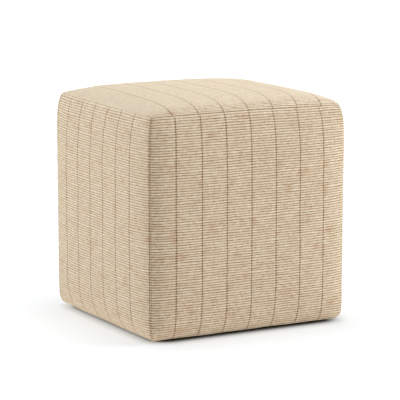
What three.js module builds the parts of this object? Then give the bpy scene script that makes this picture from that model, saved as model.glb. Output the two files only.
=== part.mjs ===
// Cube pouf stool: a filled cube of striped ribbed cloth, cut as one top panel and four side
// panels that meet in plain seams, closed underneath by a flat black base panel.
// Millimetres, +Z up. The origin is the middle of the floor face; -Y is the front.
import * as THREE from 'three';

// Where the seams lie
const seamWidth = 392; // X, between the upright seams of the front
const seamDepth = 364; // Y, between the upright seams of a short side
const seamHeight = 402.5; // floor to the seam around the top
const seamDip = 2.8; // the top seam is this much lower at the corners
const dipPower = 15; // how close to the corner the dip stays
const edgeLift = 4; // floor to the lower edge of the cloth, mid-side
const cornerSag = 2.4; // the lower edge hangs this much lower at the corners
const sagPower = 14;

// How the filling pushes each side out between its seams
const bellyFront = 17.8; // front and back, outwards of the seam plane
const bellySide = 16.2; // left and right
const roundness = 4.8; // power of the curve from the middle of a side to its upright seams
const drawnTop = 15; // how far the belly is drawn in at the top seam
const drawnTopReach = 27.3; // and over what height that dies away
const drawnBottom = 24; // the same at the lower edge
const drawnBottomReach = 21.4;

// The upright seams stand out a little and are pulled in at both ends
const cornerOut = 1.5;
const cornerTopIn = 6.6;
const cornerTopReach = 12.4;
const cornerBottomIn = 14.5;
const cornerBottomReach = 5.5;

// The crown of the top panel, highest near the middle and a little uneven
const crownRise = 18.5;
const crownPower = 5.8;
const crownFullness = 0.87;
const crownFallX = 3.6; // lower towards the left and right
const crownFallY = 1.4; // lower towards the front and back
const crownTwist = 2.9; // fuller at the front right and back left
const crownLeanX = 0.9; // fuller on the left than on the right
const crownLeanY = 1.8; // fuller at the front than at the back

// The turned-under edge and the black base panel
const hemTurn = 7; // how far the cloth turns under
const baseThickness = 3.5;
const baseSetback = 10; // from the lower edge of the cloth to the base panel, mid-side
const baseCornerRadius = 26;
const baseBevel = 0.5;

// The cloth's ribs run level round the sides and from left to right across the top
const ribPitch = 4.55;
const ribHeight = 0.8; // from the grooves to the backs of the ribs
const ribFade = 24; // power by which the ribs flatten into the seams

const pieceGap = 0.3; // between neighbouring pieces
const mitreHeight = seamHeight / 2; // where the top panel's mitres meet on the centre line
const columns = 8; // grid steps along the ribs of a panel

const ribbedCloth = new THREE.MeshStandardMaterial({ color: 0xcdbca1, roughness: 0.92, metalness: 0 });
const blackBaseCloth = new THREE.MeshStandardMaterial({ color: 0x1c1a19, roughness: 0.85, metalness: 0 });

// A run of count + 1 values from -1 to 1, closer together towards both ends.
function spread(count) {
  return Array.from({ length: count + 1 }, (_, i) => Math.sin((i / count - 0.5) * Math.PI));
}

// Inset of an upright seam from the corner of the seam box, at a distance from its two ends.
function seamInset(belowTop, aboveEdge) {
  return cornerTopIn * Math.exp(-belowTop / cornerTopReach)
    + cornerBottomIn * Math.exp(-aboveEdge / cornerBottomReach) - cornerOut;
}

// Swell of the middle of a side outwards of its seam plane.
function swell(belly, belowTop, aboveEdge) {
  return belly - drawnTop * Math.exp(-belowTop / drawnTopReach)
    - drawnBottom * Math.exp(-aboveEdge / drawnBottomReach);
}

// How far a rib's back stands out of the grooves, at a place from -1 to 1 along the rib.
function ribRise(along) {
  return ribHeight * (1 - Math.abs(along) ** ribFade);
}

// A point of a side panel that faces -Y. s runs from -1 to 1 between the upright seams and
// t from 0 at the lower edge to 1 at the top seam.
function sidePoint(half, reach, belly, s, t) {
  const topZ = seamHeight - seamDip * Math.abs(s) ** dipPower;
  const edgeZ = edgeLift - cornerSag * Math.abs(s) ** sagPower;
  const z = edgeZ + t * (topZ - edgeZ);
  const inset = seamInset(topZ - z, z - edgeZ);
  const nearSeam = Math.abs(s) ** roundness;
  const out = swell(belly, topZ - z, z - edgeZ) * (1 - nearSeam) - inset * nearSeam;
  return new THREE.Vector3(s * (half - inset), -(reach + out), z);
}

// A point of the top panel. Its rim follows the top rows of the four side panels.
function topPoint(sx, sy) {
  const inset = seamInset(0, seamHeight);
  const farX = Math.abs(sx) ** roundness;
  const farY = Math.abs(sy) ** roundness;
  const spanX = (swell(bellySide, 0, seamHeight) + inset) * (1 - farY) * Math.abs(sx) ** 3;
  const spanY = (swell(bellyFront, 0, seamHeight) + inset) * (1 - farX) * Math.abs(sy) ** 3;
  const cover = ((1 - Math.abs(sx) ** crownPower) * (1 - Math.abs(sy) ** crownPower)) ** crownFullness;
  const rise = crownRise - crownFallX * sx * sx - crownFallY * sy * sy - crownTwist * sx * sy
    - crownLeanX * sx - crownLeanY * sy;
  return new THREE.Vector3(
    sx * (seamWidth / 2 - inset + spanX),
    sy * (seamDepth / 2 - inset + spanY),
    seamHeight - seamDip * Math.abs(sx * sy) ** dipPower + cover * rise);
}

// Places along a profile, two to a rib: the even ones lie in the grooves and the odd ones on
// the ribs' backs. The profile is a function of a parameter from 0 to 1, and so are the places.
function ribPlaces(pointAt) {
  const profile = new THREE.Curve();
  profile.getPoint = pointAt;
  const steps = 2 * Math.round(profile.getLength() / ribPitch);
  return Array.from({ length: steps + 1 }, (_, i) => profile.getUtoTmapping(i / steps));
}

// One closed body from its points and its triangles, as triples of point numbers.
function solid(name, points, triangles, material) {
  const geometry = new THREE.BufferGeometry().setFromPoints(points);
  geometry.setIndex(triangles.flat());
  geometry.computeVertexNormals();
  const mesh = new THREE.Mesh(geometry, material);
  mesh.name = name;
  return mesh;
}

// Triangles of a grid of points stored row by row, facing the viewer who sees the columns
// run to the right and the rows run up.
function gridTriangles(columnCount, rowCount) {
  const triangles = [];
  for (let j = 0; j < rowCount; j += 1) {
    for (let i = 0; i < columnCount; i += 1) {
      const a = j * (columnCount + 1) + i;
      const b = a + columnCount + 1;
      triangles.push([a, a + 1, b + 1], [a, b + 1, b]);
    }
  }
  return triangles;
}

// A fan from one point to a chain of points.
function fan(hub, chain) {
  return chain.slice(1).map((point, k) => [hub, chain[k], point]);
}

// A side panel with the filling behind it: its cloth face, the turned-under edge, and mitred
// flanks that run back to the centre line.
function sidePanel(name, half, reach, belly) {
  const across = spread(columns);
  const up = ribPlaces((t) => sidePoint(half, reach, belly, 0, t));
  const turned = across.map((s) => {
    const edge = sidePoint(half, reach, belly, s, 0);
    return new THREE.Vector3(edge.x - s * hemTurn, edge.y + hemTurn, baseThickness + pieceGap);
  });
  const face = up.flatMap((t, j) => across.map((s) => {
    const point = sidePoint(half, reach, belly, s, t);
    point.y -= (j % 2) * ribRise(s);
    return point;
  }));
  const points = [...turned, ...face];
  const rowLength = columns + 1;
  const rowCount = up.length;
  const low = points.push(new THREE.Vector3(0, 0, baseThickness + pieceGap)) - 1;
  const high = points.push(new THREE.Vector3(0, 0, mitreHeight)) - 1;
  const edgeRow = across.map((_, i) => i);
  const topRow = edgeRow.map((i) => rowCount * rowLength + i);
  const leftColumn = Array.from({ length: rowCount + 1 }, (_, j) => j * rowLength);
  const rightColumn = leftColumn.map((index) => index + columns);
  return solid(name, points, [
    ...gridTriangles(columns, rowCount),
    ...fan(low, edgeRow.toReversed()),
    ...fan(high, topRow),
    ...fan(high, [low, ...leftColumn]),
    ...fan(high, [...rightColumn.toReversed(), low]),
  ], ribbedCloth);
}

// A point of the left or right rim of the top panel, on the straight stretches between the
// columns of the side panel below it.
function rimPoint(sx, sy) {
  const stops = spread(columns);
  const next = Math.max(1, stops.findIndex((stop) => stop >= sy));
  const share = (sy - stops[next - 1]) / (stops[next] - stops[next - 1]);
  return topPoint(sx, stops[next - 1]).lerp(topPoint(sx, stops[next]), share);
}

// The top panel with the filling under it, as a crowned lid on four mitred flanks.
function topPanel() {
  const across = spread(columns);
  const back = ribPlaces((v) => topPoint(0, 2 * v - 1)).map((v) => 2 * v - 1);
  const points = back.flatMap((sy, j) => across.map((sx) => {
    if (Math.abs(sx) === 1) return rimPoint(sx, sy);
    const point = topPoint(sx, sy);
    point.z += (j % 2) * ribRise(sx);
    return point;
  }));
  const rowCount = back.length - 1;
  const rowLength = columns + 1;
  const frontRow = across.map((_, i) => i);
  const backRow = frontRow.map((i) => rowCount * rowLength + i);
  const leftColumn = back.map((_, j) => j * rowLength);
  const rightColumn = leftColumn.map((index) => index + columns);
  const hub = points.push(new THREE.Vector3(0, 0, mitreHeight)) - 1;
  const panel = solid('top_panel', points, [
    ...gridTriangles(columns, rowCount),
    ...fan(hub, frontRow.toReversed()),
    ...fan(hub, rightColumn.toReversed()),
    ...fan(hub, backRow),
    ...fan(hub, leftColumn),
  ], ribbedCloth);
  panel.position.z = pieceGap;
  return panel;
}

// The flat black panel that closes the underside and rests on the floor.
function basePanel() {
  const x = seamWidth / 2 + bellySide - drawnBottom - baseSetback - baseBevel;
  const y = seamDepth / 2 + bellyFront - drawnBottom - baseSetback - baseBevel;
  const r = baseCornerRadius;
  const outline = new THREE.Shape();
  outline.moveTo(-x + r, -y);
  outline.absarc(x - r, -y + r, r, -Math.PI / 2, 0);
  outline.absarc(x - r, y - r, r, 0, Math.PI / 2);
  outline.absarc(-x + r, y - r, r, Math.PI / 2, Math.PI);
  outline.absarc(-x + r, -y + r, r, Math.PI, 1.5 * Math.PI);
  const geometry = new THREE.ExtrudeGeometry(outline, {
    depth: baseThickness - 2 * baseBevel,
    bevelThickness: baseBevel,
    bevelSize: baseBevel,
    bevelSegments: 1,
    curveSegments: 6,
  });
  geometry.translate(0, 0, baseBevel);
  const panel = new THREE.Mesh(geometry, blackBaseCloth);
  panel.name = 'base_panel';
  return panel;
}

const group = new THREE.Group();
group.add(topPanel(), basePanel());

// Each side panel is built facing -Y and turned about the centre line. Moved out by this much,
// it stands pieceGap off its neighbours along the mitres.
const mitreShift = pieceGap / Math.SQRT2;
const sides = [
  { name: 'front_panel', turn: 0, half: seamWidth / 2, reach: seamDepth / 2, belly: bellyFront },
  { name: 'right_panel', turn: 1, half: seamDepth / 2, reach: seamWidth / 2, belly: bellySide },
  { name: 'back_panel', turn: 2, half: seamWidth / 2, reach: seamDepth / 2, belly: bellyFront },
  { name: 'left_panel', turn: 3, half: seamDepth / 2, reach: seamWidth / 2, belly: bellySide },
];
for (const side of sides) {
  const panel = sidePanel(side.name, side.half, side.reach, side.belly);
  panel.rotation.z = side.turn * Math.PI / 2;
  panel.position.set(0, -mitreShift, 0).applyEuler(panel.rotation);
  group.add(panel);
}

export default group;
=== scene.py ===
"""Looks of a cube pouf stool: a filled cube of ribbed cotton cloth with woven pinstripes.

One top panel and four side panels meet in plain seams, each with the filling behind it, and a
black cloth panel closes the underside. Shapes are worked out in millimetres and stored in metres.
The front looks towards -Y, and the origin is the middle of the floor face.
"""

import math
from collections import namedtuple

import bpy
import numpy as np
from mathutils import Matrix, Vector


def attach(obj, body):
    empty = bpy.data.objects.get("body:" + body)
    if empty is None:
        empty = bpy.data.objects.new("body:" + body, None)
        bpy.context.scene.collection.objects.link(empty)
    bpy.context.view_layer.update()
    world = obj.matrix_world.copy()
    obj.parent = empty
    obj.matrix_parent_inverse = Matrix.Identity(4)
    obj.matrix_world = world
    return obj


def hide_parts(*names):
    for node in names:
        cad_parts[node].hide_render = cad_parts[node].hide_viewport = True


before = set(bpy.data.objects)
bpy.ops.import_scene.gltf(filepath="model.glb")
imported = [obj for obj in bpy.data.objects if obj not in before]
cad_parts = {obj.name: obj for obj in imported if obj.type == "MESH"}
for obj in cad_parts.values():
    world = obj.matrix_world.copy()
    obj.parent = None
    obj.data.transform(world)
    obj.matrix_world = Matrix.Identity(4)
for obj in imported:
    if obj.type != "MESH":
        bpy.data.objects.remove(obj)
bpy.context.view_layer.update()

MM = 0.001  # metres in a millimetre

# ---- sizes in millimetres ----

# Where the seams lie
SEAM_WIDTH, SEAM_DEPTH, SEAM_HEIGHT = 392.0, 370.0, 403.3
SEAM_DIP, DIP_POWER = 1.3, 15  # the top seam is lower at the corners
RIGHT_FALL, RIGHT_FALL_REACH = 4.6, 45.0  # and falls softly towards the front right corner
RIGHT_FALL_LEVEL, RIGHT_FALL_POWER = 0.3, 14  # how soon that levels off to the right and back
EDGE_LIFT, CORNER_SAG, SAG_POWER = 4.4, 2.2, 14  # floor to the cloth's lower edge
DIP_REACH = 18.0  # how far down or up a side a dip or sag of its edge is felt

# How the filling pushes the sides out between their seams
BELLY_FRONT, BELLY_SIDE = 14.8, 16.2
ROUNDNESS = 4.8  # the higher, the flatter a side is before it turns to its upright seams
DRAWN_TOP, DRAWN_TOP_REACH = 15.0, 27.3  # how much less towards the top seam, and how far down
DRAWN_BOTTOM, DRAWN_BOTTOM_REACH = 21.5, 21.4  # and towards the lower edge
CORNER_OUT = 3.7  # the upright seams stand out by this much, but are drawn in at top and foot
CORNER_TOP_IN, CORNER_TOP_REACH = 8.8, 20.0
CORNER_BOTTOM_IN, CORNER_BOTTOM_REACH = 16.7, 5.5
PULL_POWER = 8  # the cloth is pulled in sideways only close to the corners
CORNER_ROUND, CORNER_ROUND_REACH = 4.6, 25.0  # the upright corners are rounded off by this much
ROUND_FADE_TOP, ROUND_FADE_EDGE = 70.0, 6.0  # but less so this near to the top and the foot

# The crown of the top panel
CROWN_RISE, CROWN_POWER, CROWN_FULLNESS = 19.0, 5.8, 0.87
CROWN_FALL_X, CROWN_FALL_Y, CROWN_TWIST = 3.6, 1.4, 2.9  # it is lower away from its middle
CROWN_LEAN_X, CROWN_LEAN_Y = 0.9, 1.8  # and a little lower to the right and to the back

# The turned-under edge, the base panel and the gaps between pieces
HEM_TURN, BASE_THICKNESS, BASE_SETBACK, BASE_CORNER = 7.0, 3.5, 12.5, 26.0
BASE_BEVEL, BEVEL_SHOULDER = 0.5, 0.15
CORNER_POINTS = 13  # points round each corner of the base panel
PIECE_GAP = 0.3
MITRE_HEIGHT = SEAM_HEIGHT / 2  # where the hidden flanks of the five panels meet

# The grid of a panel: rows follow the ribs, columns stand close at seams and stripes
ROWS_PER_RIB = 7
PROFILE_POINTS = 4001  # a profile's length is measured over this many points
COLUMN_STEP, COLUMN_ROOM = 3.5, 1.2  # even columns, left out where a close one is this near
SEAM_COLUMNS = (0, 0.15, 0.5, 1.0, 1.6, 2.4, 3.6, 5.2)
STRIPE_COLUMNS = (-1.3, -0.6, 0, 0.6, 1.3)

# The ribs
RIB_PITCH, RIB_HEIGHT = 4.55, 0.8  # the pitch is from groove to groove
RIB_WANDER, WANDER_WAVES = 0.07, 14  # a groove wanders by this share of the pitch
RIB_UNEVEN, UNEVEN_WAVES = 0.22, 24  # a rib's height varies by this share
RIB_NUMBERS = 100  # rib numbers of two panels are this far apart, so that their yarns differ
LID_DEPTH, LID_RIM_DEPTH, LID_RIM_REACH = 0.45, 1.0, 22.0  # flatter in the middle of the top
HEM_STRETCH = 0.5  # the cloth is stretched where it turns in, which keeps its ribs evenly apart
SEAM_FADE, EDGE_FADE = 1.6, 1.5  # the relief fades out beside seams and the lower edge
GROOVE_FADE_LEAST, GROOVE_FADE_REACH = 0.3, 20.0  # grooves run up to the top seam at the corners
EDGE_FLATTENED, EDGE_FLATTENED_REACH = 0.35, 8.0  # and are shallower above the lower edge
SEAM_DEEPENING_AND_SHADE, SEAM_DEEPENING_AND_SHADE_REACH = 0.14, 17.0  # deeper by an upright seam, with darker painted shade

# The pinstripes
STRIPE_PITCH = 50.0
STRIPE_SUNK, STRIPE_HALF_WIDTH = 0.22, 0.8  # the cloth is sunk a little along each stripe
STRIPES_EACH_WAY, STRIPE_MARGIN = 4, 12.0  # those that get columns of their own lie off the seams
FRONT_SHIFT, SIDE_SHIFT = 2.1, -29.3  # from a stripe to the middle of a panel
TOP_SHIFT = FRONT_SHIFT - 0.24  # brings the top's stripes in line with the front's
TOP_PITCH_NEAR, TOP_PITCH, TOP_PITCH_REACH = 50.2, 51.7, 40.0  # they spread a little backwards
TOP_SWEEP, TOP_SWEEP_REACH, TOP_TILT = 16.1, 88.9, 0.64  # and sweep to the right, but for a tilt
SWEEP_START = 12.0  # but less beside the left seam, so that no stripe comes out of it
SEAM_TAKE_UP, TAKE_UP_POWER = 3.2, 11  # cloth taken up towards an upright seam
TOP_TAKE_UP_REACH = 25.0  # and along the top seams of the front and back

# The seams
CORE_DEPTH = 25.0  # the cloth is drawn towards a core this far inside the seam box
SEAM_ROLL_LOW, SEAM_ROLL_HIGH = 1.0, 1.8  # radius of the roll into an upright seam, foot and head
EDGE_ROLL = 2.6  # and round the lower edge
TUCK, TUCK_REACH = 0.2, 14.0  # the top seams' rolls are wider by this share at the corners
PINCH, PINCH_REACH = 0.8, 7.0  # the seams are pulled in this much more where three of them meet
RIM_LIFT_REACH = 6.0  # how far below a side's rim its lift is felt

# Lumps of the filling, which fade out towards the seams, and gathers beside the seams
SIDE_LUMPS, SIDE_LUMPS_REACH, SIDE_PUCKERS = 1.2, 25.0, 0.45
TOP_LUMPS, TOP_LUMPS_REACH, TOP_PUCKERS = 1.0, 30.0, 0.3
LUMP_WAVES, LUMP_LENGTH = 6, 160.0
PUCKER_LENGTHS, PUCKER_REACH = (17.0, 23.0, 31.0, 47.0), 9.0

# The two kinds of side
Side = namedtuple(
    "Side",
    [
        "half",  # half the length of its top seam
        "reach",  # from the middle of the stool out to its seams
        "belly",  # how far the filling pushes it out
        "depth",  # of its ribs and of the shade between them, as a share
        "rim_roll",  # radius of its roll into the top seam
        "rim_lift",  # how much of the gap to the top panel its rim takes up
        "rib_fade",  # how far below the rim its ribs fade in
        "groove_fade",  # and the shade between them
        "take_up",  # cloth taken up along the top seam
    ],
)
LONG_SIDE = Side(
    half=SEAM_WIDTH / 2,
    reach=SEAM_DEPTH / 2,
    belly=BELLY_FRONT,
    depth=0.88,
    rim_roll=1.6,
    rim_lift=0.0,
    rib_fade=3.0,
    groove_fade=3.0,
    take_up=4.0,
)
SHORT_SIDE = Side(
    half=SEAM_DEPTH / 2,
    reach=SEAM_WIDTH / 2,
    belly=BELLY_SIDE,
    # Shallower ribs on the short sides, which also gives them less painted shade in their grooves,
    # standing in for the more frontal light on them.
    depth=0.72,
    rim_roll=0.05,
    rim_lift=0.28,
    rib_fade=1.3,
    groove_fade=0.3,
    take_up=0.0,
)

# ---- colours ----

YARN_DULL, YARN_BRIGHT, SLUB_RED = "#e1c6a5", "#f8e7cf", "#cda080"
# The groove colour is partly the tan of the warps between the ribs and partly painted shade in the
# grooves.
GROOVE_TAN_AND_SHADE, STRIPE_BROWN, SHEEN_CREAM = "#8a6a40", "#744a24", "#f0d9b4"
BASE_BLACK, BASE_GREY = "#100f0e", "#26231f"

# Unevenness along the yarn: length of a run in mm, how fast it changes from rib to rib, how
# finely broken it is, and then the part of the noise that counts and what it is stretched to
Grain = namedtuple(
    "Grain", "length row_scale detail low high to_low to_high", defaults=(0.0, 1.0, 0.0, 1.0)
)
RUNS = Grain(16.0, 7.31, 1.0, 0.3, 0.7)
BEADS = Grain(4.2, 3.9, 2.0, 0.36, 0.64)
SPECKS = Grain(1.6, 1.7, 2.0, 0.3, 0.7)
SLUB_CLUSTERS = Grain(34.0, 0.17, 1.0, 0.56, 0.7)
SLUBS = Grain(20.0, 3.77, 1.0, 0.42, 0.58, 0.15, 1.0)
# how strongly the groove colour, the warps' tan with painted shade, shows along each groove
GROOVE_STRENGTH = Grain(9.0, 5.3, 3.0, 0.3, 0.7, 0.55, 1.0)
STRIPE_WEAR = Grain(60.0, 0.9, 1.0, 0.3, 0.65, 0.7, 1.0)
HAIR = Grain(0.8, 5.0, 2.0)
RUN_SHARE, BEAD_SHARE, SPECK_SHARE = 0.32, 0.46, 0.22  # of them in the heather

# Ranges that are carried over: from low and high, to low and high
# GROOVE_FLANK gives how much of the groove colour, the warps' tan with painted shade, a rib's flank
# takes
GROOVE_FLANK = (0.3, 0.95)  # off a rib's back, to how much it is in the groove
HEATHER_BY_DEPTH = (0.4, 0.9, 0.5, 1.0)  # flatter ribs are less heathered
SLUB_BY_DEPTH = (0.45, 0.9, 0.08, 0.42)  # and have fainter slubs
STRIPE_BY_DEPTH = (0.4, 0.8, 0.6, 1.0)  # and fainter stripes
STRIPE_EDGE = (0.7, 1.8, 1.0, 0.0)  # mm off a stripe's middle, to how much it shows
STRIPE_ON_BACK = (0.2, 0.9, 0.42, 1.0)  # off a rib's back, to how much of it is uncovered
WARP_PITCH, HAIR_SHARE = 0.9, 0.5

# ---- studio, in metres ----

WORLD_STRENGTH = 0.185
WARM, COOL, COOLER = (1.0, 0.93, 0.8, 1.0), (0.87, 0.935, 1.0), (0.81, 0.905, 1.0)
LIGHTS_AIM = Vector((0, 0, 0.2))
LIGHTS = (  # name, place, size, power and tint
    ("light_left", (-3.0, 1.9, 0.9), 2.0, 58.0, COOLER),
    ("light_right", (3.2, -1.5, 1.6), 2.0, 111.0, COOL),
    ("light_top", (0.0, 0.4, 3.4), 2.4, 84.0, COOLER),
)
FLOOR_HALF, FLOOR_DROP = 40.0, 0.0002
# The paper's glow is painted light that keeps it white, and it is taken out near the stool as a
# painted contact shadow.
FLOOR_TONE, FLOOR_PAINTED_GLOW, PAINTED_GLOW_TINT = 0.42, 0.66, (1.0, 1.0, 0.985, 1.0)
FOOTPRINT = (0.152, 0.140, 0.0)  # half the base panel's size, less the rounding of its corners
PAINTED_SHADOW_LEAN = (0.008, -0.003, 0.0)  # the contact shadow lies a little to the right and front
PAINTED_SHADOW_FOOT, PAINTED_SHADOW_WIDE = 0.23, 0.09  # the glow lost in the shadow at the foot, and further out
PAINTED_GLOW_STEPS = (  # from where to where past the footprint the floor's glow rises, and by how much
    (0.003, 0.026, FLOOR_PAINTED_GLOW - PAINTED_SHADOW_FOOT - PAINTED_SHADOW_WIDE),
    (0.008, 0.045, PAINTED_SHADOW_FOOT),
    (0.0, 0.16, PAINTED_SHADOW_WIDE),
    (0.8, 3.0, 1.0 - FLOOR_PAINTED_GLOW),
)
CAMERA_PLACE = Vector((-2.1747, -3.9480, 1.0378))
CAMERA_YAW, CAMERA_PITCH = -0.5043, -0.1813  # radians, from +Y and above level
LENS, SENSOR = 223.85, 36.0  # millimetres
CAMERA_SHIFT = (-0.0012, 0.0012)
NEAREST, FARTHEST = 0.1, 200.0


# ---- shapes ----


def faded(distance, reach):
    """Exponential fade: 1 at no distance, and 1/e of it at the reach."""
    return np.exp(-distance / reach)


def bell(distance, reach):
    """Bell-shaped fade: 1 at no distance, level there, and 1/e of it at the reach."""
    return np.exp(-((distance / reach) ** 2))


def seam_inset(below_top, above_edge):
    """Inset of an upright seam from the seam box: a fade from each end, less a constant."""
    return (
        CORNER_TOP_IN * faded(below_top, CORNER_TOP_REACH)
        + CORNER_BOTTOM_IN * faded(above_edge, CORNER_BOTTOM_REACH)
        - CORNER_OUT
    )


def swell(belly, below_top, above_edge):
    """Swell of a side's middle: its belly, less a fade from each of its two edges."""
    return (
        belly
        - DRAWN_TOP * faded(below_top, DRAWN_TOP_REACH)
        - DRAWN_BOTTOM * faded(above_edge, DRAWN_BOTTOM_REACH)
    )


def right_fall(sx, sy):
    """The top seam's fall to the front right: a share that levels off with sx, x a power of sy."""
    right = np.clip(sx, 0, 1) ** 2
    return RIGHT_FALL * right / (right + RIGHT_FALL_LEVEL) * np.clip(-sy, 0, 1) ** RIGHT_FALL_POWER


def side_surface(side, turns, s, t):
    """Smooth cloth of a side that faces -Y. s is -1 to 1 across it, t is 0 to 1 up it.

    The swell is full in the middle and falls with a power of s to the upright seams. The dip of
    the upper edge and the sag of the lower one fade away from their edges.
    """
    s, t = np.broadcast_arrays(s, t)
    below, above = (1 - t) * (SEAM_HEIGHT - EDGE_LIFT), t * (SEAM_HEIGHT - EDGE_LIFT)
    fall = [right_fall(s, -1), right_fall(1, s), 0, 0][turns]  # front, right, back, left
    dip = SEAM_DIP * np.abs(s) ** DIP_POWER * faded(below, DIP_REACH)
    dip = dip + fall * faded(below, RIGHT_FALL_REACH)
    sag = CORNER_SAG * np.abs(s) ** SAG_POWER * faded(above, DIP_REACH)
    inset = seam_inset(below, above)
    near = np.abs(s) ** ROUNDNESS
    across = s * (side.half - inset * np.abs(s) ** PULL_POWER)
    out = swell(side.belly, below, above) * (1 - near) - inset * near
    return np.stack([across, -(side.reach + out), EDGE_LIFT + above - dip - sag], -1)


def top_surface(sx, sy):
    """Smooth cloth of the top, with sx and sy from -1 to 1. Its rim is the sides' upper edge.

    The crown is a product of one falling power of sx and one of sy, itself raised to a power.
    """
    sx, sy = np.broadcast_arrays(sx, sy)
    inset = seam_inset(0, SEAM_HEIGHT)
    out_x, out_y = swell(BELLY_SIDE, 0, SEAM_HEIGHT), swell(BELLY_FRONT, 0, SEAM_HEIGHT)
    far_x, far_y = np.abs(sx) ** ROUNDNESS, np.abs(sy) ** ROUNDNESS
    span_x = (out_x * (1 - far_y) - inset * far_y) * np.abs(sx) ** PULL_POWER
    span_y = (out_y * (1 - far_x) - inset * far_x) * np.abs(sy) ** PULL_POWER
    rim = SEAM_HEIGHT - SEAM_DIP * np.abs(sx * sy) ** DIP_POWER - right_fall(sx, sy)
    fall_x, fall_y = 1 - np.abs(sx) ** CROWN_POWER, 1 - np.abs(sy) ** CROWN_POWER
    rise = CROWN_RISE - CROWN_FALL_X * sx**2 - CROWN_FALL_Y * sy**2 - CROWN_TWIST * sx * sy
    rise = rise - CROWN_LEAN_X * sx - CROWN_LEAN_Y * sy
    x, y = sx * (SEAM_WIDTH / 2 + span_x), sy * (SEAM_DEPTH / 2 + span_y)
    return np.stack([x, y, rim + (fall_x * fall_y) ** CROWN_FULLNESS * rise], -1)


def across_places(half, stripes):
    """Places of the columns: even steps, with close ones at both seams and on each stripe."""
    seam = half - np.array(SEAM_COLUMNS)
    on_stripes = (stripes[:, None] + np.array(STRIPE_COLUMNS)).ravel()
    close = np.concatenate([seam, -seam, on_stripes])
    even = np.linspace(-half, half, round(2 * half / COLUMN_STEP) + 1)
    apart = np.abs(even[:, None] - close[None, :]).min(1) > COLUMN_ROOM
    return np.sort(np.concatenate([even[apart], close]))


def uneven(rng, lines, along, waves, size):
    """Smooth seeded unevenness along several lines: waves whose size falls with frequency."""
    order = np.arange(1, waves + 1)
    turn = np.outer(order, np.pi * (along + 1) / 2)
    share = rng.normal(size=(2, lines, waves)) / np.sqrt(order * np.sum(1 / order))
    return size * (share[0] @ np.cos(turn) + share[1] @ np.sin(turn))


def rib_rows(profile, stretch, rng, s):
    """Rows of a panel, ROWS_PER_RIB to a rib, even along the length of its middle profile.

    In that length, steps inwards and outwards count times stretch. Each groove wanders a little
    along its own length, and the rows between two grooves follow in proportion. Returns each
    row's rib number, the parameter of every point, and the profile's length.
    """
    dense = np.linspace(0, 1, PROFILE_POINTS)
    steps = np.diff(profile(dense), axis=0) * [1, stretch, 1]
    length = np.concatenate([[0], np.cumsum(np.linalg.norm(steps, axis=1))])
    ribs = round(length[-1] / RIB_PITCH)
    rib = np.arange(ribs * ROWS_PER_RIB + 1) / ROWS_PER_RIB
    wander = uneven(rng, ribs + 1, s, WANDER_WAVES, RIB_WANDER)
    wander[[0, -1]] = 0
    low = np.minimum(rib.astype(int), ribs - 1)
    share = (rib - low)[:, None]
    place = rib[:, None] + (1 - share) * wander[low] + share * wander[low + 1]
    place = np.clip(place / ribs, 0, 1) * length[-1]
    return rib, np.interp(place, length, dense), length[-1]


def rib_relief(rib, rng, s):
    """Height of the ribs about their mean: 1 less the cube of the distance from a rib's back.

    That is taken times the height of each rib, which is uneven along its length.
    """
    off_back = np.abs(2 * (rib % 1) - 1)
    height = RIB_HEIGHT * (1 + uneven(rng, int(rib[-1]) + 1, s, UNEVEN_WAVES, RIB_UNEVEN))
    return (1 - off_back**3)[:, None] * height[rib.astype(int)] - RIB_HEIGHT / 2


def rolled(distance, radius):
    """Depth of a quarter round at a distance from its edge."""
    left = np.clip(radius - distance, 0, radius)
    return radius - np.sqrt(radius**2 - left**2)


def tucked(radius, to_corner):
    """Radius of a roll into a top seam, a little wider near a corner."""
    return radius * (1 + TUCK * faded(to_corner, TUCK_REACH))


def outward(points, half, reach):
    """Unit directions from the nearest point of the core box to each point, level at the bottom."""
    low = np.array([CORE_DEPTH - half, CORE_DEPTH - reach, -SEAM_HEIGHT])
    high = np.array([half - CORE_DEPTH, reach - CORE_DEPTH, SEAM_HEIGHT - CORE_DEPTH])
    away = points - np.clip(points, low, high)
    return away / np.linalg.norm(away, axis=-1, keepdims=True)


def grid_normals(points):
    """Unit normals of a grid of points: the cross product of its two running differences."""
    normal = np.cross(np.gradient(points, axis=1), np.gradient(points, axis=0))
    return normal / np.linalg.norm(normal, axis=-1, keepdims=True)


def filling_lumps(rng, points, size):
    """Slight unevenness of the filling: a few long seeded waves that cross the panel."""
    waves = rng.normal(size=(LUMP_WAVES, 3)) * 2 * np.pi / LUMP_LENGTH
    turns = rng.uniform(0, 2 * np.pi, LUMP_WAVES)
    return size * np.sin(points @ waves.T + turns).sum(-1) / LUMP_WAVES


def puckers(rng, seam_distance, along_seam, size):
    """Small gathers beside a seam: short waves along it that fade away from it."""
    count = len(PUCKER_LENGTHS)
    turns = rng.uniform(0, 2 * np.pi, count)
    waves = np.sin(along_seam[..., None] * 2 * np.pi / np.array(PUCKER_LENGTHS) + turns)
    return size * (waves.sum(-1) / count) * faded(seam_distance, PUCKER_REACH)


def grid_faces(rows, columns):
    """Quads of a grid stored row by row, which face whoever sees columns run right and rows up."""
    first = (np.arange(rows - 1)[:, None] * columns + np.arange(columns - 1)).ravel()
    return np.stack([first, first + 1, first + columns + 1, first + columns], -1).tolist()


def fan(hub, chain):
    """Triangles from one point to a chain of points."""
    chain = np.asarray(chain)
    return np.stack([np.full(len(chain) - 1, hub), chain[:-1], chain[1:]], -1).tolist()


# How far every point of a side is from the nearest upright seam, its rim and its lower edge
Away = namedtuple("Away", "seam top edge")


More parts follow.
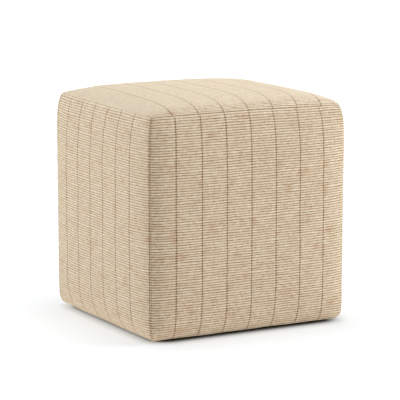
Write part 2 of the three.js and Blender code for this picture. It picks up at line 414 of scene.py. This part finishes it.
def side_rib_depth(side, away):
    """Depth of a side's ribs: its own, x a fade at its rim, one at its edge and one at seams.

    The deepening at the upright seams also darkens the painted groove shade there.
    """
    shorter = (side.groove_fade - GROOVE_FADE_LEAST) * bell(away.seam, GROOVE_FADE_REACH)
    at_rim = 1 - bell(away.top + GROOVE_FADE_LEAST, side.groove_fade - shorter)
    at_edge = 1 - EDGE_FLATTENED * faded(away.edge, EDGE_FLATTENED_REACH)
    # deeper ribs and darker painted shade in their grooves beside the upright seams
    at_seam = 1 + SEAM_DEEPENING_AND_SHADE * bell(away.seam, SEAM_DEEPENING_AND_SHADE_REACH)
    return side.depth * at_rim * at_edge * at_seam


def side_height(side, rng, rib, depth, places, shift, smooth, away):
    """Height of a side's cloth over its smooth surface: ribs - sunk stripe + lumps + puckers."""
    fade = (1 - bell(away.seam, SEAM_FADE)) * (1 - bell(away.top, side.rib_fade))
    fade = fade * (1 - bell(away.edge, EDGE_FADE))
    ribs = depth * rib_relief(rib, rng, places / side.half) * fade
    off_stripe = np.abs((places + shift + STRIPE_PITCH / 2) % STRIPE_PITCH - STRIPE_PITCH / 2)
    sunk = STRIPE_SUNK * bell(off_stripe, STRIPE_HALF_WIDTH)[None, :] * fade
    soft = filling_lumps(rng, smooth, SIDE_LUMPS) * (1 - faded(away.seam, SIDE_LUMPS_REACH))
    soft = soft * (1 - faded(away.top, SIDE_LUMPS_REACH))
    return ribs - sunk + soft + puckers(rng, away.seam, smooth[..., 2], SIDE_PUCKERS) * fade


def side_drawn(side, t, away):
    """How far a side's cloth is drawn in: rolls at its edges, rounded corners and a pinch.

    The rounding is a falling square of the distance from an upright seam, faded at top and foot.
    """
    seam_roll = SEAM_ROLL_LOW + (SEAM_ROLL_HIGH - SEAM_ROLL_LOW) * t
    rim_roll = tucked(side.rim_roll, away.seam)
    drawn = np.maximum(rolled(away.seam, seam_roll), rolled(away.top, rim_roll))
    drawn = drawn + rolled(away.edge, EDGE_ROLL)
    rounding = CORNER_ROUND * np.clip(1 - away.seam / CORNER_ROUND_REACH, 0, 1) ** 2
    rounding = rounding * (1 - faded(away.top, ROUND_FADE_TOP))
    drawn = drawn + rounding * (1 - faded(away.edge, ROUND_FADE_EDGE))
    return drawn + PINCH * faded(away.seam + away.top, PINCH_REACH)


def side_faces(rows, columns):
    """Faces of a side: a grid of hem and cloth, and mitred flanks from its rim to two points."""
    low = rows * columns
    high = low + 1
    left = np.arange(rows) * columns
    right = left + columns - 1
    bottom = np.arange(columns)
    faces = grid_faces(rows, columns)
    faces += fan(low, bottom[::-1]) + fan(high, bottom + (rows - 1) * columns)
    faces += fan(high, [low, *left]) + fan(high, [*right[::-1], low])
    return faces


def side_weave(side, rib, depth, places, shift, away, seed):
    """The cloth's own coordinates of a side's points: along the ribs, rib number, rib depth.

    Cloth is taken up by a power of s towards the upright seams, and by a sine of s at the rim.
    """
    s = places / side.half
    along = places - SEAM_TAKE_UP * s * np.abs(s) ** TAKE_UP_POWER
    along = along + side.take_up * np.sin(s * np.pi / 2) * faded(away.top, TOP_TAKE_UP_REACH)
    along = np.concatenate([along[0], along.ravel(), [0, 0]]) + shift
    number = np.concatenate([np.full(len(s), -1.0), np.repeat(rib, len(s)), [0, 0]])
    depth = np.concatenate([np.zeros(len(s)), depth.ravel(), [0, 0]])
    return np.stack([along, number + RIB_NUMBERS * seed, depth], -1)


def side_panel(side, turns, shift, seed):
    """A side panel that faces -Y: ribbed cloth, its turned-under edge and mitred flanks.

    Cloth point = smooth point + normal x height - outward x how far it is drawn in. The edge is
    turned under by HEM_TURN, down to just above the base panel.
    """
    rng = np.random.default_rng(seed)
    stripes = np.arange(-STRIPES_EACH_WAY, STRIPES_EACH_WAY + 1) * STRIPE_PITCH - shift
    places = across_places(side.half, stripes[np.abs(stripes) < side.half - STRIPE_MARGIN])
    s = places / side.half
    rib, t, length = rib_rows(lambda t: side_surface(side, turns, 0.0, t), HEM_STRETCH, rng, s)
    smooth = side_surface(side, turns, s[None, :], t)
    to_seam = np.broadcast_to((side.half - np.abs(places))[None, :], t.shape)
    away = Away(to_seam, (1 - t) * length, t * length)

    depth = side_rib_depth(side, away)
    height = side_height(side, rng, rib, depth, places, shift, smooth, away)
    cloth = smooth + grid_normals(smooth) * height[..., None]
    drawn = side_drawn(side, t, away)
    cloth = cloth - outward(smooth, side.half, side.reach) * drawn[..., None]
    cloth[..., 2] += side.rim_lift * faded(away.top, RIM_LIFT_REACH)
    hem = smooth[0] + np.stack([-s * HEM_TURN, np.full_like(s, HEM_TURN), 0 * s], -1)
    hem[:, 2] = BASE_THICKNESS + PIECE_GAP
    hubs = np.array([[0, 0, BASE_THICKNESS + PIECE_GAP], [0, 0, MITRE_HEIGHT]])
    points = np.concatenate([hem, cloth.reshape(-1, 3), hubs])
    points[:, 1] -= PIECE_GAP / math.sqrt(2)
    weave = side_weave(side, rib, depth, places, shift, away, seed)
    return points, side_faces(len(rib) + 1, len(s)), weave


def top_faces(rows, columns):
    """Faces of the top: a grid of cloth, and four mitred flanks from its rim to one point."""
    hub = rows * columns
    left = np.arange(rows) * columns
    front = np.arange(columns)
    faces = grid_faces(rows, columns)
    faces += fan(hub, front[::-1]) + fan(hub, front + (rows - 1) * columns)
    faces += fan(hub, left) + fan(hub, (left + columns - 1)[::-1])
    return faces


def top_along(x, y, sy):
    """Places of the top's points along the ribs: x less a sweep that grows backwards, spread."""
    behind_front, past_left = y + SEAM_DEPTH / 2, np.maximum(x + SEAM_WIDTH / 2, 0)
    sweep = TOP_SWEEP * (1 - faded(behind_front, TOP_SWEEP_REACH)) - TOP_TILT * sy
    sweep = sweep * (1 - faded(past_left, SWEEP_START))
    pitch = TOP_PITCH - (TOP_PITCH - TOP_PITCH_NEAR) * faded(behind_front, TOP_PITCH_REACH)
    return (x + TOP_SHIFT - sweep) * STRIPE_PITCH / pitch


def top_height(rng, rib, depth, sx, smooth, to_side, to_end):
    """Height of the top's cloth over its smooth surface: ribs + lumps + puckers at both seams."""
    fade = (1 - bell(to_side, SEAM_FADE)) * (1 - bell(to_end, SEAM_FADE))
    ribs = depth * rib_relief(rib, rng, sx) * fade
    soft = filling_lumps(rng, smooth, TOP_LUMPS) * (1 - faded(to_side, TOP_LUMPS_REACH))
    soft = soft * (1 - faded(to_end, TOP_LUMPS_REACH))
    gathered = puckers(rng, to_end, smooth[..., 0], TOP_PUCKERS) * fade
    gathered = gathered + puckers(rng, to_side, smooth[..., 1], TOP_PUCKERS) * fade
    return ribs + soft + gathered


def top_panel(seed):
    """The top panel: a crowned ribbed lid on four mitred flanks that meet in the middle.

    Cloth point = smooth point + normal x height - outward x (rolls into the seams + pinch).
    """
    rng = np.random.default_rng(seed)
    half_x, half_y = SEAM_WIDTH / 2, SEAM_DEPTH / 2
    places = across_places(half_x, stripes=np.zeros(0))
    sx = places / half_x
    rib, v, _ = rib_rows(lambda v: top_surface(0.0, 2 * v - 1), stretch=1.0, rng=rng, s=sx)
    sy = 2 * v - 1
    smooth = top_surface(sx[None, :], sy)
    to_side = np.broadcast_to((half_x - np.abs(places))[None, :], sy.shape)
    to_end = half_y * (1 - np.abs(sy))

    depth = LID_DEPTH + (LID_RIM_DEPTH - LID_DEPTH) * bell(to_end, LID_RIM_REACH)
    height = top_height(rng, rib, depth, sx, smooth, to_side, to_end)
    cloth = smooth + grid_normals(smooth) * height[..., None]
    end_roll = rolled(to_end, tucked(LONG_SIDE.rim_roll, to_side))
    drawn = np.maximum(rolled(to_side, SHORT_SIDE.rim_roll), end_roll)
    drawn = drawn + PINCH * faded(to_side + to_end, PINCH_REACH)
    cloth = cloth - outward(smooth, half_x, half_y) * drawn[..., None]
    points = np.concatenate([cloth.reshape(-1, 3), [[0, 0, MITRE_HEIGHT]]])
    points[:, 2] += PIECE_GAP
    along = top_along(smooth[..., 0], smooth[..., 1], sy)
    number = np.repeat(rib, len(sx)) + RIB_NUMBERS * seed
    weave = np.stack([along.ravel(), number, depth.ravel()], -1)
    return points, top_faces(len(rib), len(sx)), np.concatenate([weave, [[0, 0, 0]]])


def base_panel():
    """The black panel: a bevelled profile carried round a rectangle with rounded corners.

    It has no ribs, so that its level places stand in for the cloth's own coordinates.
    """
    half_x = SEAM_WIDTH / 2 + BELLY_SIDE - DRAWN_BOTTOM - BASE_SETBACK
    half_y = SEAM_DEPTH / 2 + BELLY_FRONT - DRAWN_BOTTOM - BASE_SETBACK
    corner = np.repeat(np.arange(4), CORNER_POINTS)
    turn = (corner + np.tile(np.linspace(0, 1, CORNER_POINTS), 4)) * np.pi / 2
    ring = np.stack([np.cos(turn), np.sin(turn)], -1)
    side = np.array([[1, 1], [-1, 1], [-1, -1], [1, -1]])[corner]
    middle = side * (np.array([half_x, half_y]) - BASE_CORNER)
    profile = np.array(  # inset and height, from the underside round the edge to the upper side
        [
            [BASE_CORNER, 0.0],
            [BASE_BEVEL, 0.0],
            [BEVEL_SHOULDER, BEVEL_SHOULDER],
            [0, BASE_BEVEL],
            [0, BASE_THICKNESS - BASE_BEVEL],
            [BEVEL_SHOULDER, BASE_THICKNESS - BEVEL_SHOULDER],
            [BASE_BEVEL, BASE_THICKNESS],
            [BASE_CORNER, BASE_THICKNESS],
        ]
    )
    flat = middle[None] + ring[None] * (BASE_CORNER - profile[:, :1, None])
    heights = np.broadcast_to(profile[:, 1:, None], (*flat.shape[:2], 1))
    points = np.concatenate([flat, heights], -1)
    rows, columns = points.shape[:2]
    points = np.concatenate([points.reshape(-1, 3), [[0, 0, 0], [0, 0, BASE_THICKNESS]]])
    loop = np.append(np.arange(columns), 0)
    lower = np.arange(rows - 1)[:, None] * columns + loop
    upper = lower + columns
    quads = np.stack([lower[:, :-1], lower[:, 1:], upper[:, 1:], upper[:, :-1]], -1)
    faces = quads.reshape(-1, 4).tolist()
    faces += fan(rows * columns, loop[::-1])
    faces += fan(rows * columns + 1, loop + (rows - 1) * columns)
    return points, faces, points * [1, 1, 0]


def quarter_turn(points, turns):
    """Points turned about the upright middle line by a number of quarter turns."""
    c, s = round(math.cos(turns * math.pi / 2)), round(math.sin(turns * math.pi / 2))
    x, y = points[:, 0], points[:, 1]
    return np.stack([c * x - s * y, s * x + c * y, points[:, 2]], -1)


def add_piece(name, node_name, shape, material):
    """Stores points, faces and the cloth's own coordinates as a piece that stands for a CAD node.

    The coordinates are the place along the ribs, the rib's number and how deep the ribs are. The
    hidden fans of triangles stay flat, so that the cloth's smooth shading stops at its seams.
    """
    points, faces, weave = shape
    mesh = bpy.data.meshes.new(name)
    mesh.from_pydata((points * MM).tolist(), [], faces)
    mesh.polygons.foreach_set("use_smooth", [len(face) == 4 for face in faces])
    corners = np.empty(len(mesh.loops), np.int32)
    mesh.loops.foreach_get("vertex_index", corners)
    layer = mesh.uv_layers.new(name="cloth")
    layer.data.foreach_set("uv", weave[corners, :2].astype(np.float32).ravel())
    deep = mesh.attributes.new("rib_depth", "FLOAT", "POINT")
    deep.data.foreach_set("value", weave[:, 2].astype(np.float32))
    mesh.materials.append(material)
    mesh.update()
    piece = bpy.data.objects.new(name, mesh)
    bpy.context.scene.collection.objects.link(piece)
    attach(piece, "root")
    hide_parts(node_name)
    return piece


# ---- materials ----


def linear(hex_colour):
    """An sRGB hex value as linear red, green, blue and alpha."""
    parts = [int(hex_colour[i : i + 2], 16) / 255 for i in (1, 3, 5)]
    return (*[p / 12.92 if p <= 0.04045 else ((p + 0.055) / 1.055) ** 2.4 for p in parts], 1.0)


def add_node(tree, kind, sockets=None, **settings):
    """Adds a node. sockets gives an input's name or number its value, or an output to link to."""
    made = tree.nodes.new(kind)
    for name, value in settings.items():
        setattr(made, name, value)
    for name, value in (sockets or {}).items():
        if isinstance(value, bpy.types.NodeSocket):
            tree.links.new(value, made.inputs[name])
        else:
            made.inputs[name].default_value = value
    return made.outputs


def new_material(name):
    """A material with an empty node tree."""
    material = bpy.data.materials.new(name)
    material.use_nodes = True
    material.node_tree.nodes.clear()
    return material, material.node_tree


def add_surface(tree, sockets):
    """Ends a material's tree with a surface of the given socket values."""
    surface = add_node(tree, "ShaderNodeBsdfPrincipled", sockets)
    add_node(tree, "ShaderNodeOutputMaterial", {"Surface": surface[0]})


def maths(tree, operation, first, second=0.0, third=0.0):
    """The outcome of a sum on values or sockets."""
    return add_node(tree, "ShaderNodeMath", {0: first, 1: second, 2: third}, operation=operation)[0]


def vectors(tree, operation, first, second=(0, 0, 0)):
    """The outcomes of a sum on vectors."""
    return add_node(tree, "ShaderNodeVectorMath", {0: first, 1: second}, operation=operation)


def ranged(tree, value, low, high, to_low=0.0, to_high=1.0, kind="SMOOTHSTEP"):
    """A value carried from the range low to high to the range to_low to to_high."""
    sockets = {"Value": value, 1: low, 2: high, 3: to_low, 4: to_high}
    return add_node(tree, "ShaderNodeMapRange", sockets, interpolation_type=kind)[0]


def mixed(tree, share, first, second):
    """A share of the second colour in the first."""
    sockets = {"Factor": share, 6: first, 7: second}
    return add_node(tree, "ShaderNodeMix", sockets, data_type="RGBA")[2]


# The cloth's own coordinates in a material
Weave = namedtuple(
    "Weave",
    [
        "along",  # place along the ribs in millimetres
        "number",  # place across them, counted in ribs
        "rib",  # whole number of a rib
        "groove",  # and of a groove
        "off_back",  # 0 on a rib's back to 1 in a groove
        "depth",  # how deep the ribs are
    ],
)


def weave_sockets(tree):
    """Reads the cloth's own coordinates from a piece."""
    cloth = add_node(tree, "ShaderNodeUVMap", uv_map="cloth")[0]
    along, number, _ = add_node(tree, "ShaderNodeSeparateXYZ", {0: cloth})
    groove = maths(tree, "FLOOR", maths(tree, "ADD", number, 0.5))
    signed = maths(tree, "MULTIPLY_ADD", maths(tree, "FRACT", number), 2.0, -1.0)
    off_back = maths(tree, "ABSOLUTE", signed)
    depth = add_node(tree, "ShaderNodeAttribute", attribute_name="rib_depth")["Fac"]
    return Weave(along, number, maths(tree, "FLOOR", number), groove, off_back, depth)


def noise(tree, along, row, grain):
    """Noise in runs along the ribs, which changes with the row. The row is a count of ribs."""
    u = maths(tree, "DIVIDE", along, grain.length)
    v = maths(tree, "MULTIPLY", row, grain.row_scale)
    place = add_node(tree, "ShaderNodeCombineXYZ", {0: u, 1: v})[0]
    sockets = {"Vector": place, "Scale": 1.0, "Detail": grain.detail, "Roughness": 0.55}
    return add_node(tree, "ShaderNodeTexNoise", sockets)[0]


def grained(tree, along, row, grain):
    """Such noise, with the part of it that counts stretched to the grain's own range."""
    value = noise(tree, along, row, grain)
    return ranged(tree, value, grain.low, grain.high, grain.to_low, grain.to_high)


def heather(tree, weave):
    """0 to 1 for dull to bright yarn: beads of a few millimetres, in runs, and finer specks."""
    runs = maths(tree, "MULTIPLY", grained(tree, weave.along, weave.rib, RUNS), RUN_SHARE)
    beads = maths(tree, "MULTIPLY", grained(tree, weave.along, weave.rib, BEADS), BEAD_SHARE)
    specks = grained(tree, weave.along, weave.number, SPECKS)
    specks = maths(tree, "MULTIPLY", specks, SPECK_SHARE)
    total = maths(tree, "ADD", runs, maths(tree, "ADD", beads, specks))
    contrast = ranged(tree, weave.depth, *HEATHER_BY_DEPTH)
    return maths(tree, "MULTIPLY_ADD", maths(tree, "SUBTRACT", total, 0.5), contrast, 0.5)


def slub_share(tree, weave):
    """How much of a reddish slub: lengths of yarn that lie together on neighbouring ribs."""
    cluster = grained(tree, weave.along, weave.number, SLUB_CLUSTERS)
    slub = maths(tree, "MULTIPLY", cluster, grained(tree, weave.along, weave.rib, SLUBS))
    return maths(tree, "MULTIPLY", slub, ranged(tree, weave.depth, *SLUB_BY_DEPTH))


def groove_tan_and_shade_share(tree, weave):
    """How much a point takes of the groove colour, the warps' tan with painted shade: 1 along
    a groove's middle, stronger and weaker along each.
    """
    strength = grained(tree, weave.along, weave.groove, GROOVE_STRENGTH)
    share = maths(tree, "MULTIPLY", ranged(tree, weave.off_back, *GROOVE_FLANK), strength)
    return maths(tree, "MULTIPLY", share, weave.depth)


def stripe_share(tree, weave):
    """How much the pinstripe warp shows: all in a groove, half covered on a rib's back."""
    off_stripe = maths(tree, "PINGPONG", weave.along, STRIPE_PITCH / 2)
    stripe = ranged(tree, off_stripe, *STRIPE_EDGE)
    shown = ranged(tree, weave.off_back, *STRIPE_ON_BACK)
    shown = maths(tree, "MULTIPLY", shown, ranged(tree, weave.depth, *STRIPE_BY_DEPTH))
    worn = grained(tree, weave.along, weave.number, STRIPE_WEAR)
    return maths(tree, "MULTIPLY", stripe, maths(tree, "MULTIPLY", shown, worn))


def yarn_relief(tree, weave):
    """Fine relief of the warp threads and of the yarn's hairiness, as a normal."""
    thread = maths(tree, "PINGPONG", weave.along, WARP_PITCH / 2)
    hair = noise(tree, weave.along, weave.number, HAIR)
    height = maths(tree, "MULTIPLY_ADD", hair, HAIR_SHARE, thread)
    sockets = {"Strength": 0.35, "Distance": 0.0003, "Height": height}
    return add_node(tree, "ShaderNodeBump", sockets)[0]


def ribbed_cotton_rep():
    """Cotton rep, woven with thick level wefts under fine warps, and a dark pinstripe warp.

    The thick wefts give ribs that are cream on their backs and tan in their grooves, a tan that
    is partly the fine warps and partly painted shade. Their yarn is heathered, so that each rib
    is broken along its length, with reddish slubs here and there.
    Its fine warp threads and the yarn's own hairiness keep the surface matt.
    """
    material, tree = new_material("ribbed_cotton_rep")
    weave = weave_sockets(tree)
    colour = mixed(tree, heather(tree, weave), linear(YARN_DULL), linear(YARN_BRIGHT))
    colour = mixed(tree, slub_share(tree, weave), colour, linear(SLUB_RED))
    # the groove colour: the warps' tan with painted shade between the ribs
    colour = mixed(tree, groove_tan_and_shade_share(tree, weave), colour, linear(GROOVE_TAN_AND_SHADE))
    colour = mixed(tree, stripe_share(tree, weave), colour, linear(STRIPE_BROWN))
    sockets = {
        "Base Color": colour,
        "Roughness": 0.92,
        "Specular IOR Level": 0.1,
        "Sheen Weight": 0.07,
        "Sheen Roughness": 0.5,
        "Sheen Tint": linear(SHEEN_CREAM),
        "Normal": yarn_relief(tree, weave),
    }
    add_surface(tree, sockets)
    return material


def black_base_cloth():
    """Black polypropylene base cloth, spun and pressed: matt, flecked, with fine round dimples."""
    material, tree = new_material("black_spunbond_base_cloth")
    place = add_node(tree, "ShaderNodeTexCoord")["Object"]
    fleck = add_node(tree, "ShaderNodeTexNoise", {"Vector": place, "Scale": 900.0, "Detail": 3.0})
    dimple = add_node(tree, "ShaderNodeTexVoronoi", {"Vector": place, "Scale": 450.0})
    share = ranged(tree, fleck[0], low=0.3, high=0.7, kind="LINEAR")
    relief = {"Strength": 0.4, "Distance": 0.0002, "Height": dimple[0]}
    sockets = {
        "Base Color": mixed(tree, share, linear(BASE_BLACK), linear(BASE_GREY)),
        "Roughness": 0.85,
        "Specular IOR Level": 0.3,
        "Normal": add_node(tree, "ShaderNodeBump", relief)[0],
    }
    add_surface(tree, sockets)
    return material


def white_paper_painted_glow():
    """Matt white studio paper that glows as painted light, but not where the stool stands on it.

    It stays white but for a soft painted contact shadow, where its glow is taken out. Its glow
    rises away from the stool's footprint, and again further out, as painted light where the lamps
    reach it less.
    """
    material, tree = new_material("white_paper_painted_glow_and_shadow")
    place = add_node(tree, "ShaderNodeTexCoord")["Object"]
    off_middle = vectors(tree, "ABSOLUTE", vectors(tree, "SUBTRACT", place, PAINTED_SHADOW_LEAN)[0])[0]
    past = vectors(tree, "MAXIMUM", vectors(tree, "SUBTRACT", off_middle, FOOTPRINT)[0])[0]
    far = vectors(tree, "LENGTH", past)["Value"]
    far = maths(tree, "SUBTRACT", far, BASE_CORNER * MM)
    # painted glow: taken out near the footprint as a painted contact shadow, raised far out as
    # painted light
    glow = 0.0
    for begin, end, rise in PAINTED_GLOW_STEPS:
        glow = maths(tree, "ADD", glow, ranged(tree, far, begin, end, 0.0, rise))
    sockets = {
        "Base Color": (FLOOR_TONE, FLOOR_TONE, FLOOR_TONE, 1.0),
        "Roughness": 1.0,
        "Specular IOR Level": 0.0,
        "Emission Color": PAINTED_GLOW_TINT,
        "Emission Strength": glow,
    }
    add_surface(tree, sockets)
    return material


# ---- studio ----


def floor():
    """A wide level sheet of paper just under the stool."""
    mesh = bpy.data.meshes.new("floor")
    corners = [(x * FLOOR_HALF, y * FLOOR_HALF) for x, y in ((-1, -1), (1, -1), (1, 1), (-1, 1))]
    mesh.from_pydata([(x, y, -FLOOR_DROP) for x, y in corners], [], [(0, 1, 2, 3)])
    mesh.materials.append(white_paper_painted_glow())
    sheet = bpy.data.objects.new("floor", mesh)
    bpy.context.scene.collection.objects.link(sheet)


def soft_light(name, place, size, power, tint):
    """A square soft light that looks at the middle of the stool."""
    lamp = bpy.data.lights.new(name, "AREA")
    lamp.shape, lamp.size, lamp.energy, lamp.color = "SQUARE", size, power, tint
    holder = bpy.data.objects.new(name, lamp)
    holder.location = place
    holder.rotation_euler = (LIGHTS_AIM - Vector(place)).to_track_quat("-Z", "Y").to_euler()
    bpy.context.scene.collection.objects.link(holder)


def studio():
    """White surroundings, a large light from the left and behind, one from the right, one above."""
    world = bpy.data.worlds.new("studio")
    world.use_nodes = True
    tree = world.node_tree
    tree.nodes.clear()
    seen = add_node(tree, "ShaderNodeLightPath")["Is Camera Ray"]
    dim = add_node(tree, "ShaderNodeBackground", {"Color": WARM, "Strength": WORLD_STRENGTH})
    white = add_node(tree, "ShaderNodeBackground", {"Color": (1, 1, 1, 1), "Strength": 1.0})
    both = add_node(tree, "ShaderNodeMixShader", {0: seen, 1: dim[0], 2: white[0]})
    add_node(tree, "ShaderNodeOutputWorld", {"Surface": both[0]})
    bpy.context.scene.world = world
    for light in LIGHTS:
        soft_light(*light)
    bpy.context.scene.view_settings.view_transform = "Standard"
    bpy.context.scene.view_settings.look = "None"


def camera():
    """A long lens at the near corner's side, a little above the stool."""
    data = bpy.data.cameras.new("camera")
    data.sensor_width, data.lens = SENSOR, LENS
    data.shift_x, data.shift_y = CAMERA_SHIFT
    data.clip_start, data.clip_end = NEAREST, FARTHEST
    level = math.cos(CAMERA_PITCH)
    across, along = -math.sin(CAMERA_YAW) * level, math.cos(CAMERA_YAW) * level
    ahead = Vector((across, along, math.sin(CAMERA_PITCH)))
    holder = bpy.data.objects.new("camera", data)
    holder.location = CAMERA_PLACE
    holder.rotation_euler = ahead.to_track_quat("-Z", "Y").to_euler()
    bpy.context.scene.collection.objects.link(holder)
    bpy.context.scene.camera = holder


# ---- the stool ----


def stool():
    """The five filled panels and the base panel, each in the place of its CAD node."""
    cloth = ribbed_cotton_rep()
    sides = [
        ("front_panel", LONG_SIDE, FRONT_SHIFT),
        ("right_panel", SHORT_SIDE, -SIDE_SHIFT),
        ("back_panel", LONG_SIDE, -FRONT_SHIFT),
        ("left_panel", SHORT_SIDE, SIDE_SHIFT),
    ]
    for turns, (name, side, shift) in enumerate(sides):
        points, faces, weave = side_panel(side, turns, shift, seed=turns + 1)
        shape = (quarter_turn(points, turns), faces, weave)
        piece = add_piece("ribbed_" + name, name, shape, cloth)
    lid = add_piece("ribbed_top_panel", "top_panel", top_panel(seed=5), cloth)
    add_piece("black_base_panel", "base_panel", base_panel(), black_base_cloth())


stool()
floor()
studio()
camera()
